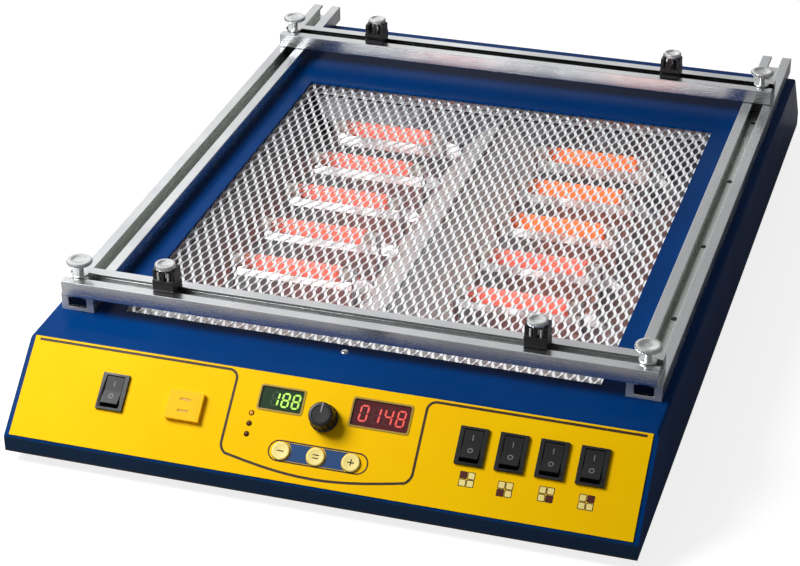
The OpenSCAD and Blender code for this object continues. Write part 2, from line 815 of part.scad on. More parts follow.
// Nut that slides in the side rail and carries the lock screw
module slide_nut() {
  w = rail_w - 2 * rail_side_t - 2 * slide_gap;
  z0 = z_top + rail_t + slide_gap;
  z1 = z_top + side_rail_h - lip_t - slide_gap;
  difference() {
    union() {
      block([w, nut_l, z1 - z0], [0, 0, z0]);
      block([slot_w - 2 * slide_gap, nut_l, z_cross - z0], [0, 0, z0]);
    }
    translate([0, 0, z0 - 1]) cylinder(d = thread_d + 2 * fit_gap, h = z_cross - z0 + 2);
  }
}

// A cross rail with its two slide nuts
module cross_rail(y) {
  color([0.8, 0.81, 0.82]) {
    difference() {
      translate([0, y, z_cross]) slotted_rail(cross_rail_l, cross_rail_h);
      for (side = [-1, 1]) at_lock(side, y)
        translate([0, 0, z_cross - 1]) cylinder(d = thread_d + 2 * fit_gap, h = rail_t + 2);
    }
    for (side = [-1, 1]) at_lock(side, y) slide_nut();
  }
}

// A thumbscrew that turns in the slide nut and bears on the cross rail's lips
module lock_screw(side, y) {
  z0 = z_top + rail_t + 2 * slide_gap;
  z1 = z_cross_top + slide_gap;
  color([0.75, 0.76, 0.76]) at_lock(side, y) {
    translate([0, 0, z0]) cylinder(d = thread_d, h = z1 - z0 + lock_head_z);
    translate([0, 0, z1]) cylinder(d = slot_w + 3, h = 1.2);
    translate([0, 0, z1 + lock_head_z - slide_gap]) cylinder(d = lock_head_d, h = lock_head_t);
  }
}

// A clamp that slides in the cross rail: toward is 1 facing the back and -1 facing the front
module clamp(x, y, toward) {
  z0 = z_cross_top + slide_gap;
  foot_w = rail_w - 2 * rail_side_t - 2 * slide_gap;
  foot_z0 = z_cross + rail_t + slide_gap;
  foot_z1 = z_cross_top - lip_t - slide_gap;
  mid = toward * clamp_in;
  mid_t = clamp_d / 2 - clamp_in - collar_d / 2 - slide_gap;
  color([0.07, 0.07, 0.08]) translate([x, y, 0]) difference() {
    union() {
      block([clamp_l, clamp_d, clamp_h], [0, mid, z0]);
      block([clamp_l - 2, slot_w - 2 * slide_gap, z0 - foot_z0 + 1], [0, 0, foot_z0]);
      block([clamp_l - 2, foot_w, foot_z1 - foot_z0], [0, 0, foot_z0]);
      for (s = [-1, 1]) {
        block([rib_t, clamp_d - 3, rib_h + 1], [s * (clamp_l - rib_t) / 2, mid, z0 + clamp_h - 1]);
        block([rib_t, mid_t, rib_h + 1], [0, mid + s * (clamp_d - mid_t) / 2, z0 + clamp_h - 1]);
      }
    }
    translate([0, 0, foot_z0 - 1]) cylinder(d = thread_d + 2 * fit_gap, h = z0 + clamp_h - foot_z0 + 2);
    translate([0, mid + toward * clamp_d / 2, z0 + clamp_h / 2])
      cube([clamp_l + 1, 2 * groove_d, groove_h], center = true);
  }
}

module clamp_screw(x, y) {
  z0 = z_cross + rail_t + 2 * slide_gap;
  z1 = z_cross_top + 2 * slide_gap + clamp_h;
  z2 = z1 + rib_h + slide_gap;
  color([0.72, 0.73, 0.73]) translate([x, y, 0]) {
    translate([0, 0, z0]) cylinder(d = thread_d, h = z2 - z0);
    translate([0, 0, z1]) cylinder(d = collar_d, h = rib_h * 0.7);
    translate([0, 0, z2]) cylinder(d = clamp_head_d, h = clamp_head_t);
  }
}

// ---- Rear face and power electronics ----

module rear_holes() {
  narrow = 2 * pass_gap - 2 * inlet_lap;
  on_rear(inlet_x, rear_l / 2) block([inlet_w + narrow, inlet_l + narrow, cut], [0, 0, -cut / 2]);
  on_rear(inlet_x - fuse_gap, rear_l / 2)
    cylinder(d = fuse_d - 3 + 2 * pass_gap, h = cut, center = true);
  for (i = [0:vent_n - 1])
    on_rear(-body_w / 2 + win_side + i * vent_pitch, rear_l / 2)
      block([vent_w, rear_l * 0.5, cut], [0, 0, -cut / 2]);
}

module mains_inlet() {
  core = [inlet_w - 2 * inlet_lap, inlet_l - 2 * inlet_lap];
  recess = [core.x - 3, core.y - 3];
  color([0.07, 0.07, 0.07]) on_rear(inlet_x, rear_l / 2) difference() {
    union() {
      block([inlet_w, inlet_l, inlet_t]);
      block([core.x, core.y, inlet_depth + 2], [0, 0, inlet_t - inlet_depth - 2]);
    }
    block([recess.x, recess.y, inlet_depth + eps], [0, 0, inlet_t - inlet_depth]);
    for (p = pin_places) translate([p.x, p.y, inlet_t - inlet_depth - 6])
      block([pin_size.x + 2 * fit_gap, pin_size.y + 2 * fit_gap, cut]);
  }
}

module inlet_pins() {
  color([0.8, 0.75, 0.5]) on_rear(inlet_x, rear_l / 2)
    for (p = pin_places)
      block([pin_size.x, pin_size.y, inlet_depth + 4], [p.x, p.y, inlet_t - inlet_depth - 8]);
}

module fuse_holder() {
  color([0.08, 0.08, 0.08]) on_rear(inlet_x - fuse_gap, rear_l / 2) {
    cylinder(d = fuse_d, h = 2.5);
    translate([0, 0, -18]) cylinder(d = fuse_d - 3, h = 18 + eps);
    difference() {
      translate([0, 0, 2.5 - eps]) cylinder(d = fuse_d - 4, h = 2);
      translate([0, 0, 4.5]) cube([fuse_d - 6, 1.2, 2], center = true);
    }
  }
}

module power_board() {
  z = z_floor + board_spacer_h;
  relay = [power_board_w * 0.18, power_board_d * 0.38, sink_h * 0.7];
  choke = [power_board_w * 0.09, power_board_d * 0.58, sink_h * 0.55];
  x0 = power_x - power_board_w / 2 + post_w;
  color([0.12, 0.38, 0.2]) {
    block([power_board_w, power_board_d, board_t], [power_x, power_y, z]);
    block(relay, [x0 + relay.x / 2, power_y + post_w, z + board_t / 2]);
    block(choke, [x0 + 1.5 * relay.x, power_y, z + board_t / 2]);
  }
}

module heat_sink() {
  w = power_board_w * 0.42;
  x = power_x + (power_board_w - w) / 2 - post_w;
  color([0.6, 0.62, 0.64]) translate([x, power_y, z_floor + board_spacer_h + board_t]) {
    block([w, sink_d, 2 * fin_t]);
    for (i = [0:fin_n - 1])
      block([fin_t, sink_d, sink_h], [(w - fin_t) * (i / (fin_n - 1) - 0.5), 0, 0]);
  }
}

base_plate();
top_cover();
feet();
case_screws();
front_overlay();
grille();
grille_frame();
heater_tray();
insulation_board();
tray_spacers();
reflector(-1);  // reflector_left
reflector(1);  // reflector_right
lamps(-1, 0);  // lamps_front_left
lamps(1, 0);  // lamps_front_right
lamps(-1, 1);  // lamps_back_left
lamps(1, 1);  // lamps_back_right
lamp_filaments();
lamp_end_caps();
lamp_holders();
plate_sensor();
side_rail(-1);  // side_rail_left
side_rail(1);  // side_rail_right
rail_screws();
power_switch_body();
zone_switch_bodies();
thermocouple_socket();
green_display();
red_display();
indicator_lights();
dial_potentiometer();
control_board();
power_board();
heat_sink();
mains_inlet();
inlet_pins();
fuse_holder();
power_rocker();
zone_rocker(0);  // zone_rocker_1
zone_rocker(1);  // zone_rocker_2
zone_rocker(2);  // zone_rocker_3
zone_rocker(3);  // zone_rocker_4
push_button(0);  // left_button
push_button(1);  // middle_button
push_button(2);  // right_button
dial_knob();
cross_rail(front_rail_y);  // front_rail
cross_rail(back_rail_y);  // back_rail
lock_screw(-1, front_rail_y);  // lock_screw_front_left
lock_screw(1, front_rail_y);  // lock_screw_front_right
lock_screw(-1, back_rail_y);  // lock_screw_back_left
lock_screw(1, back_rail_y);  // lock_screw_back_right
clamp(-clamp_fl, front_rail_y, 1);  // clamp_front_left
clamp(clamp_fr, front_rail_y, 1);  // clamp_front_right
clamp(-clamp_back, back_rail_y, -1);  // clamp_back_left
clamp(clamp_back, back_rail_y, -1);  // clamp_back_right
clamp_screw(-clamp_fl, front_rail_y);  // clamp_screw_front_left
clamp_screw(clamp_fr, front_rail_y);  // clamp_screw_front_right
clamp_screw(-clamp_back, back_rail_y);  // clamp_screw_back_left
clamp_screw(clamp_back, back_rail_y);  // clamp_screw_back_right
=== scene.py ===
import math
import random

import bmesh
import bpy
from mathutils import Matrix, Vector


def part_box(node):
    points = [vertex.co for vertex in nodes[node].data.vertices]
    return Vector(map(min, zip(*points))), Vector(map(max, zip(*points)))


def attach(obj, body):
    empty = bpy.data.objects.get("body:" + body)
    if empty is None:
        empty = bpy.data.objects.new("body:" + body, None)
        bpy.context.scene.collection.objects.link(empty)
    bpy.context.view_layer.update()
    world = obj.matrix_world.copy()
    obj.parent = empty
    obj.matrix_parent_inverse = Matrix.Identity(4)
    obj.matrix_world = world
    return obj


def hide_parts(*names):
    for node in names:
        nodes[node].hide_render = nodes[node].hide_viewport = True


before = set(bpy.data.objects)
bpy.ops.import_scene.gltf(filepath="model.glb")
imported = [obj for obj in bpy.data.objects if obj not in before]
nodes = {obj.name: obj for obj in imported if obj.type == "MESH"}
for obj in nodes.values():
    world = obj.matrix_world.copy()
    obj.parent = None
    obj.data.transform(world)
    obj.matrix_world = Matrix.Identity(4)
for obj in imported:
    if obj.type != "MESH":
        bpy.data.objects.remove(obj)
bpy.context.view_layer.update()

rng = random.Random(7)
MM = 0.001

# Sizes in millimetres, as in the part's source
Y_FRONT, Z_TOP = -225.0, 57.5         # the top edge of the control face
SLOPE_H, FRONT_RUN = 41.0, 46.0       # how far the control face drops and runs forward
WIN_W, WIN_Y = 280.0, -24.0           # the window's width, and its middle in Y
OVERLAY_T = 0.6
LAMP_ROWS, LAMP_PITCH = 6, 48.0
COLUMNS = (-WIN_W / 4, WIN_W / 4)     # the middles of the two columns of lamps
BUTTON_V = 44.0                       # the row of buttons, down the control face
FACE_L = math.hypot(SLOPE_H, FRONT_RUN)
COS_B, SIN_B = FRONT_RUN / FACE_L, SLOPE_H / FACE_L


def shown(name, data):
    """A new object in the scene."""
    o = bpy.data.objects.new(name, data)
    bpy.context.scene.collection.objects.link(o)
    return o


# ---- Camera ----

AZIMUTH, ELEVATION, ROLL = 17.53, 29.68, -0.52
EYE = (0.3515, -1.2178, 0.7180)
LENS, SENSOR = 102.63, 36.0


def make_camera():
    az, el, roll = (math.radians(a) for a in (AZIMUTH, ELEVATION, ROLL))
    back = Vector((math.sin(az) * math.cos(el), -math.cos(az) * math.cos(el), math.sin(el)))
    right = (-back).cross(Vector((0, 0, 1))).normalized()
    up = right.cross(-back)
    x = math.cos(roll) * right + math.sin(roll) * up
    y = -math.sin(roll) * right + math.cos(roll) * up
    data = bpy.data.cameras.new("camera")
    data.lens, data.sensor_width = LENS, SENSOR
    cam = shown("camera", data)
    rows = [(x[i], y[i], back[i], EYE[i]) for i in range(3)]
    cam.matrix_world = Matrix((*rows, (0, 0, 0, 1)))
    bpy.context.scene.camera = cam


make_camera()


# ---- Shader nodes: t is a node tree ----

def shader(t):
    return t.nodes["Principled BSDF"].inputs


def maths(t, op, a, b=None):
    """A Math node on one or two sockets or numbers."""
    n = t.nodes.new("ShaderNodeMath")
    n.operation = op
    for i, value in enumerate((a, b)):
        if isinstance(value, (int, float)):
            n.inputs[i].default_value = value
        elif value is not None:
            t.links.new(value, n.inputs[i])
    return n.outputs["Value"]


def under(t, value, limit):
    return maths(t, "LESS_THAN", value, limit)


def over(t, value, limit):
    return maths(t, "GREATER_THAN", value, limit)


def both(t, a, b):
    """Where two masks overlap."""
    return maths(t, "MULTIPLY", a, b)


def either(t, a, b):
    """Where at least one of two masks lies."""
    return maths(t, "MAXIMUM", a, b)


def spread(t, value, start, end, low=0.0, high=1.0, kind="LINEAR"):
    """Maps start..end on to low..high, and stays there beyond the ends."""
    n = t.nodes.new("ShaderNodeMapRange")
    n.interpolation_type = kind
    for key, number in (("From Min", start), ("From Max", end), ("To Min", low), ("To Max", high)):
        n.inputs[key].default_value = number
    t.links.new(value, n.inputs["Value"])
    return n.outputs["Result"]


def ramp(t, value, start, end):
    """A smooth step from 0 at start to 1 at end."""
    return spread(t, value, start, end, kind="SMOOTHSTEP")


def mix(t, factor, a, b):
    """From a, a colour or a socket, to the colour b."""
    n = t.nodes.new("ShaderNodeMix")
    n.data_type = "RGBA"
    t.links.new(factor, n.inputs["Factor"])
    if isinstance(a, tuple):
        n.inputs["A"].default_value = (*a, 1)
    else:
        t.links.new(a, n.inputs["A"])
    n.inputs["B"].default_value = (*b, 1)
    return n.outputs["Result"]


def noise(t, vector, scale, detail):
    n = t.nodes.new("ShaderNodeTexNoise")
    n.inputs["Scale"].default_value = scale
    n.inputs["Detail"].default_value = detail
    t.links.new(vector, n.inputs["Vector"])
    return n.outputs["Fac"]


def relief(t, height, strength, depth, normal=None):
    """A Bump node: depth is in metres, and normal is the relief that it lies on."""
    n = t.nodes.new("ShaderNodeBump")
    n.inputs["Strength"].default_value = strength
    n.inputs["Distance"].default_value = depth
    t.links.new(height, n.inputs["Height"])
    if normal:
        t.links.new(normal, n.inputs["Normal"])
    return n.outputs["Normal"]


def object_point(t):
    """The point in the piece's own frame, in metres."""
    coord = next(n for n in t.nodes if n.bl_idname == "ShaderNodeTexCoord")
    return coord.outputs["Object"]


def object_xyz(t):
    split = t.nodes.new("ShaderNodeSeparateXYZ")
    t.links.new(object_point(t), split.inputs["Vector"])
    return split.outputs["X"], split.outputs["Y"], split.outputs["Z"]


def paint(t, mask, colour):
    """Lays a colour over the base colour where mask is 1."""
    base = shader(t)["Base Color"]
    t.links.new(mix(t, mask, base.links[0].from_socket, colour), base)


# ---- Materials ----

# The parts of the noise that are spread out, and the second colour where only one is given
PATCHES, GLOSS, DARKER = (0.35, 0.65), (0.7, 1.3), 0.86


def surface(name, base, alt=None, metal=0.0, rough=(0.35, 0.45), grain=600.0,
            stretch=(1, 1, 1), bump=0.1, depth=0.00005, blotch=25.0, **sockets):
    """A procedural finish: large soft changes of colour and roughness, and a fine raised grain.

    Its colour goes from base to alt, and its roughness over rough. Grain and blotch are the
    scales of the fine and the soft noise, and depth is the height of the grain in metres.
    """
    m = bpy.data.materials.new(name)
    m.use_nodes = True
    t = m.node_tree
    point = t.nodes.new("ShaderNodeTexCoord").outputs["Object"]
    place = t.nodes.new("ShaderNodeMapping")
    place.inputs["Scale"].default_value = stretch
    t.links.new(point, place.inputs["Vector"])
    soft = noise(t, point, blotch, detail=3.0)
    fine = noise(t, place.outputs["Vector"], grain, detail=4.0)
    alt = alt or tuple(c * DARKER for c in base)
    colour = mix(t, spread(t, soft, *PATCHES), base, alt)
    t.links.new(colour, shader(t)["Base Color"])
    polish = spread(t, maths(t, "ADD", soft, fine), *GLOSS, *rough)
    t.links.new(polish, shader(t)["Roughness"])
    t.links.new(relief(t, fine, bump, depth), shader(t)["Normal"])
    shader(t)["Metallic"].default_value = metal
    for key, value in sockets.items():
        shader(t)[key.replace("_", " ")].default_value = value
    return m


def crumpled(name, base, rough, fold):
    """Bright sheet with soft dents, of scale fold, under a fine rolled grain."""
    m = surface(name, base, metal=1.0, rough=rough, grain=900.0, stretch=(1, 0.05, 1), bump=0.2)
    t = m.node_tree
    dents = t.nodes.new("ShaderNodeTexVoronoi")
    dents.feature = "SMOOTH_F1"
    dents.inputs["Scale"].default_value = fold
    t.links.new(object_point(t), dents.inputs["Vector"])
    normal = shader(t)["Normal"]
    grain = normal.links[0].from_socket
    dented = relief(t, dents.outputs["Distance"], strength=0.7, depth=0.004, normal=grain)
    t.links.new(dented, normal)
    return m


# Where each tube's glow begins and ends, in metres from the left end of its half of the window
GLOW_RISE, GLOW_FALL = (0.041, 0.054), (0.1005, 0.0965)


def tube_glass(name, tint, glow, strength):
    """Quartz that glows where the coil heats it, and fades towards the ends of each tube."""
    m = surface(name, tint, rough=(0.05, 0.16), grain=300.0, bump=0.05,
                Transmission_Weight=0.7, IOR=1.46, Emission_Color=(*glow, 1))
    t = m.node_tree
    x = object_xyz(t)[0]
    along = maths(t, "ADD", x, maths(t, "MULTIPLY", under(t, x, 0.0), WIN_W / 2 * MM))
    heat = both(t, ramp(t, along, *GLOW_RISE), ramp(t, along, *GLOW_FALL))
    t.links.new(maths(t, "MULTIPLY", heat, strength), shader(t)["Emission Strength"])
    return m


# The rails' section, in metres: half the slot, half the cavity under its lips, the lips'
# thickness, and the margin that keeps a mask off the faces beside it
SLOT, CAVITY, LIP, MARGIN = 0.0036, 0.0057, 0.0019, 0.0001
# The near black painted on the nuts under the cross rails is painted shadow.
NUT_SHADOW_COLOUR = (0.05, 0.05, 0.05)
SAWN_ROUGH, SAWN_DULL = 0.5, 0.6     # the ends' least roughness, and how much metal they lose


def rail(name, node, along, centre, top, floor, slot_shade, bottom=None):
    """Brushed rail along X or Y, with painted shade in its slot and dull sawn ends.

    The slot's middle is at centre across the rail, and its top and floor are heights; above the
    floor the slot is painted a shade of grey with a little green, set by the argument after floor.
    Where bottom, the rail's underside, is given, what lies under it, its nuts, gets painted
    shadow.
    """
    m = surface(name, (0.66, 0.67, 0.68), (0.57, 0.58, 0.60), metal=1.0, rough=(0.20, 0.32),
                grain=1500.0, stretch=(0.02, 1, 1) if along == "X" else (1, 0.02, 1), bump=0.35)
    t = m.node_tree
    x, y, height = object_xyz(t)
    run, across = (x, y) if along == "X" else (y, x)
    away = maths(t, "ABSOLUTE", maths(t, "SUBTRACT", maths(t, "ABSOLUTE", across), centre))
    slot = both(t, under(t, away, SLOT), under(t, height, top - MARGIN))
    cavity = both(t, under(t, away, CAVITY), under(t, height, top - LIP))
    slot_shade_mask = both(t, either(t, slot, cavity), over(t, height, floor))
    # Painted shade: the slot, and the hollow under its lips above floor, are darkened for the
    # shade that falls there.
    paint(t, slot_shade_mask, (slot_shade, slot_shade * 1.05, slot_shade))
    if bottom:
        # Painted shadow: the nuts under the rail are painted near black for the shade they lie in.
        paint(t, under(t, height, bottom - MARGIN), NUT_SHADOW_COLOUR)
    lo, hi = ((c.x if along == "X" else c.y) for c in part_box(node))
    sawn = either(t, under(t, run, lo + MARGIN), over(t, run, hi - MARGIN))
    rough = shader(t)["Roughness"]
    polish = rough.links[0].from_socket
    t.links.new(maths(t, "MAXIMUM", polish, maths(t, "MULTIPLY", sawn, SAWN_ROUGH)), rough)
    metal = maths(t, "SUBTRACT", 1.0, maths(t, "MULTIPLY", sawn, SAWN_DULL))
    t.links.new(metal, shader(t)["Metallic"])
    return m


# The upright lip under the control face, in metres: it lies in front of one and under the other
LIP_Y, LIP_Z = -0.2703, 0.0164


def enamel():
    """Blue enamel, with painted shade on the upright lip below the control face."""
    m = surface("blue_enamel", (0.0008, 0.040, 0.180), (0.0008, 0.035, 0.160),
                rough=(0.14, 0.24), grain=700.0, bump=0.06, Specular_IOR_Level=0.02)
    t = m.node_tree
    _, y, z = object_xyz(t)
    # Painted shade: the lip below the control face is darkened for the shade it stands in.
    paint(t, both(t, under(t, y, LIP_Y), under(t, z, LIP_Z)), (0.016, 0.036, 0.080))
    return m


BACK_SLOPE = (0.106, 0.118)     # where the reflectors turn up at the back, in metres


def reflector_sheet():
    """Crumpled bright sheet, with painted shade on the slope at the back of the heater."""
    m = crumpled("reflector_sheet", (0.36, 0.37, 0.38), (0.36, 0.50), 55.0)
    t = m.node_tree
    # Painted shade: the back slope is darkened for the shade that falls on it.
    paint(t, ramp(t, object_xyz(t)[1], *BACK_SLOPE), (0.10, 0.10, 0.11))
    return m


CROSS_RAIL = dict(along="X", top=0.0775, floor=0.0733, bottom=0.0683)

BLUE = enamel()
YELLOW = surface("yellow_overlay", (1.0, 0.60, 0.0005), (1.0, 0.57, 0.0005), rough=(0.34, 0.44),
                 grain=2600.0, bump=0.15, depth=0.00003, Specular_IOR_Level=0.03)
# Each rail's slot grey is painted shade, darkest in the back rail.
RAIL_SIDE = rail("aluminium_side_rail", "side_rail_left", along="Y", centre=0.165, top=0.0680,
                 floor=0.0599, slot_shade=0.64)
RAIL_FRONT = rail("aluminium_front_rail", "front_rail", centre=0.189, slot_shade=0.50, **CROSS_RAIL)
RAIL_BACK = rail("aluminium_back_rail", "back_rail", centre=0.177, slot_shade=0.05, **CROSS_RAIL)
MESH = surface("expanded_steel", (0.90, 0.91, 0.92), (0.80, 0.81, 0.83), metal=1.0,
               rough=(0.32, 0.46), grain=1200.0, bump=0.3)
MIRROR = reflector_sheet()
FOLD = crumpled("folded_sheet", (0.62, 0.62, 0.63), (0.30, 0.44), 60.0)
DIVIDER = surface("divider_sheet", (0.97, 0.97, 0.96), (0.90, 0.90, 0.89), rough=(0.36, 0.52),
                  grain=900.0, blotch=60.0, bump=0.5, depth=0.0002)
ZINC = surface("galvanised_sheet", (0.58, 0.59, 0.61), (0.46, 0.47, 0.49), metal=1.0,
               rough=(0.32, 0.5), grain=500.0, blotch=90.0, bump=0.2)
BOARD = surface("insulation_fibre", (0.80, 0.78, 0.72), (0.70, 0.68, 0.62), rough=(0.9, 1.0),
                grain=900.0, stretch=(1, 0.4, 1), bump=0.8, depth=0.0003)
QUARTZ = tube_glass("hot_quartz", (1.0, 0.56, 0.48), (1.0, 0.21, 0.16), 0.26)
QUARTZ_HOT = tube_glass("hotter_quartz", (1.0, 0.52, 0.34), (1.0, 0.24, 0.06), 0.34)
COIL = surface("glowing_coil", (0.8, 0.22, 0.1), rough=(0.5, 0.6),
               Emission_Color=(1.0, 0.26, 0.10, 1), Emission_Strength=1.0)
CERAMIC = surface("lamp_ceramic", (0.84, 0.81, 0.74), (0.74, 0.70, 0.62), rough=(0.45, 0.65),
                  grain=1800.0, bump=0.3)
STEEL = surface("nickel_steel", (0.74, 0.75, 0.75), (0.60, 0.61, 0.61), metal=1.0,
                rough=(0.18, 0.34), grain=1200.0, bump=0.2)
BLACK = surface("switch_black", (0.008, 0.008, 0.009), (0.013, 0.013, 0.014),
                rough=(0.22, 0.36), grain=2200.0, bump=0.2, Specular_IOR_Level=0.25)
ANODISED = surface("clamp_black", (0.010, 0.010, 0.011), (0.018, 0.018, 0.019),
                   rough=(0.3, 0.46), grain=1800.0, bump=0.3, Specular_IOR_Level=0.3)
RUBBER = surface("foot_rubber", (0.012, 0.012, 0.012), (0.02, 0.02, 0.02), rough=(0.75, 0.9),
                 grain=1500.0, bump=0.5)
BASE = surface("base_paint", (0.012, 0.013, 0.018), (0.008, 0.009, 0.013), rough=(0.5, 0.62),
               grain=1500.0, bump=0.4, Specular_IOR_Level=0.3)
SOCKET = surface("socket_yellow", (1.0, 0.56, 0.003), (0.98, 0.53, 0.003), rough=(0.4, 0.52),
                 grain=1500.0, bump=0.2, Specular_IOR_Level=0.1)
CONTACT = surface("socket_contact", (0.66, 0.42, 0.03), (0.58, 0.36, 0.03), rough=(0.4, 0.5),
                  grain=1500.0, bump=0.2)

WINDOW = dict(rough=(0.10, 0.18), grain=800.0, bump=0.04, Specular_IOR_Level=0.2,
              Coat_Weight=0.15, Coat_Roughness=0.05)
GREEN_GLASS = surface("green_window", (0.010, 0.040, 0.010), (0.007, 0.028, 0.008), **WINDOW)
RED_GLASS = surface("red_window", (0.100, 0.006, 0.010), (0.066, 0.004, 0.007), **WINDOW)
GREEN_LIT = surface("green_digit", (0.30, 0.62, 0.05), rough=(0.3, 0.4),
                    Emission_Color=(0.50, 0.95, 0.08, 1), Emission_Strength=0.55)
RED_LIT = surface("red_digit", (0.6, 0.05, 0.04), rough=(0.3, 0.4),
                  Emission_Color=(1.0, 0.08, 0.06, 1), Emission_Strength=0.38)
GREEN_OFF = surface("unlit_green_segment", (0.016, 0.050, 0.014), rough=(0.3, 0.4),
                    Specular_IOR_Level=0.2)
RED_OFF = surface("unlit_red_segment", (0.075, 0.008, 0.010), rough=(0.3, 0.4),
                  Specular_IOR_Level=0.2)
LED = surface("led_resin", (0.110, 0.028, 0.008), (0.085, 0.022, 0.007), rough=(0.2, 0.3),
              grain=900.0, Specular_IOR_Level=0.3)
LED_LIT = surface("led_amber", (0.75, 0.32, 0.02), rough=(0.2, 0.3), Specular_IOR_Level=0.3,
                  Emission_Color=(1.0, 0.42, 0.04, 1), Emission_Strength=0.2)

PRINT = surface("brown_print", (0.040, 0.018, 0.004), (0.032, 0.015, 0.004), rough=(0.4, 0.5),
                grain=2600.0, Specular_IOR_Level=0.2)
STRIP = surface("blue_print", (0.003, 0.055, 0.190), (0.003, 0.048, 0.165), rough=(0.36, 0.46),
                grain=2600.0, Specular_IOR_Level=0.2)
DARK_RED = surface("red_print", (0.085, 0.010, 0.003), rough=(0.4, 0.5), grain=2600.0,
                   Specular_IOR_Level=0.2)
GREY = surface("grey_mark", (0.20, 0.20, 0.20), rough=(0.4, 0.5), grain=2600.0)
KEYCAP = surface("button_cream", (0.92, 0.78, 0.26), (0.90, 0.72, 0.20), rough=(0.35, 0.48),
                 grain=1800.0, bump=0.15)
FRAME = surface("window_frame", (0.46, 0.30, 0.035), (0.36, 0.23, 0.03), rough=(0.3, 0.4),
                grain=1800.0, Specular_IOR_Level=0.2)
PCB = surface("circuit_board", (0.012, 0.11, 0.035), (0.010, 0.085, 0.030), rough=(0.35, 0.5),
              grain=900.0, bump=0.3)
BRASS = surface("inlet_pin", (0.70, 0.62, 0.42), metal=1.0, rough=(0.25, 0.4), grain=1200.0,
                bump=0.2)
DARK_SCREW = surface("blackened_screw", (0.05, 0.05, 0.052), metal=1.0, rough=(0.3, 0.45),
                     grain=1200.0, bump=0.2)

# The finish of each CAD node; the clamps are ANODISED, and the screws that are left are STEEL
FINISH = {
    "base_plate": BASE, "top_cover": BLUE, "feet": RUBBER, "case_screws": STEEL,
    "front_overlay": YELLOW, "grille": MESH, "grille_frame": ZINC, "heater_tray": ZINC,
    "insulation_board": BOARD, "tray_spacers": STEEL,
    "reflector_left": MIRROR, "reflector_right": MIRROR,
    "lamps_front_left": QUARTZ, "lamps_front_right": QUARTZ,
    "lamps_back_left": QUARTZ, "lamps_back_right": QUARTZ_HOT,
    "lamp_filaments": COIL, "lamp_end_caps": CERAMIC, "lamp_holders": ZINC,
    "plate_sensor": STEEL, "side_rail_left": RAIL_SIDE, "side_rail_right": RAIL_SIDE,
    "rail_screws": DARK_SCREW, "front_rail": RAIL_FRONT, "back_rail": RAIL_BACK,
    "power_switch_body": BLACK, "zone_switch_bodies": BLACK, "thermocouple_socket": SOCKET,
    "green_display": GREEN_GLASS, "red_display": RED_GLASS, "indicator_lights": LED,
    "dial_potentiometer": ZINC, "control_board": PCB, "power_board": PCB, "heat_sink": ZINC,
    "mains_inlet": BLACK, "inlet_pins": BRASS, "fuse_holder": BLACK, "power_rocker": BLACK,
    "zone_rocker_1": BLACK, "zone_rocker_2": BLACK, "zone_rocker_3": BLACK,
    "zone_rocker_4": BLACK, "left_button": KEYCAP, "middle_button": KEYCAP,
    "right_button": KEYCAP, "dial_knob": BLACK,
}
for name, obj in nodes.items():
    other = ANODISED if name.startswith("clamp_") and "screw" not in name else STEEL
    obj.data.materials.clear()
    obj.data.materials.append(FINISH.get(name, other))


# ---- Edges ----

WELD_REACH, SHARP_EDGE = 0.000002, 35.0


def soften(names, width):
    """Small rounded edges on carried-over nodes, so that they catch the light as real edges do."""
    for name in names:
        o = nodes[name]
        weld = o.modifiers.new("weld", "WELD")
        weld.merge_threshold = WELD_REACH
        bevel = o.modifiers.new("edges", "BEVEL")
        bevel.width, bevel.segments = width * MM, 2
        bevel.limit_method, bevel.angle_limit = "ANGLE", math.radians(SHARP_EDGE)
        bevel.use_clamp_overlap = True


soften(["power_switch_body", "zone_switch_bodies", "mains_inlet"], 0.5)
soften(["power_rocker", "zone_rocker_1", "zone_rocker_2", "zone_rocker_3", "zone_rocker_4"],
       0.35)
soften(["thermocouple_socket", "clamp_front_left", "clamp_front_right", "clamp_back_left",
        "clamp_back_right"], 0.4)
soften(["side_rail_left", "side_rail_right", "front_rail", "back_rail"], 0.3)


# ---- Meshes: a part is its points, in millimetres, and its faces ----

def add(name, part, material, body="housing", smooth=None):
    """A piece made of a part, with its faces turned outwards, riding on a body."""
    verts, faces = part
    me = bpy.data.meshes.new(name)
    me.from_pydata([Vector(v) * MM for v in verts], [], faces)
    me.validate()
    bm = bmesh.new()
    bm.from_mesh(me)
    bmesh.ops.recalc_face_normals(bm, faces=bm.faces)
    bm.to_mesh(me)
    bm.free()
    if smooth is not None:
        me.shade_smooth()
        me.set_sharp_from_angle(angle=math.radians(smooth))
    me.materials.append(material)
    o = shown(name, me)
    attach(o, body)
    return o


def face_point(u, v, h):
    """The point u to the right, v below the top edge and h proud of the control face."""
    return (u, Y_FRONT - v * COS_B - h * SIN_B, Z_TOP - v * SIN_B + h * COS_B)


def level(x, y, z):
    """A loop across X and Y, at the height Z."""
    return x, y, z


def upright(x, z, y):
    """A loop across X and Z, drawn out along Y."""
    return x, y, z


def prism_faces(n):
    """The faces of a solid between a loop of n points and the n points after them."""
    faces = [tuple(range(n)), tuple(range(2 * n - 1, n - 1, -1))]
    return faces + [(i, i + n, (i + 1) % n + n, (i + 1) % n) for i in range(n)]


def prism(loop, h0, h1, place=face_point):
    return [place(u, v, h) for h in (h0, h1) for u, v in loop], prism_faces(len(loop))


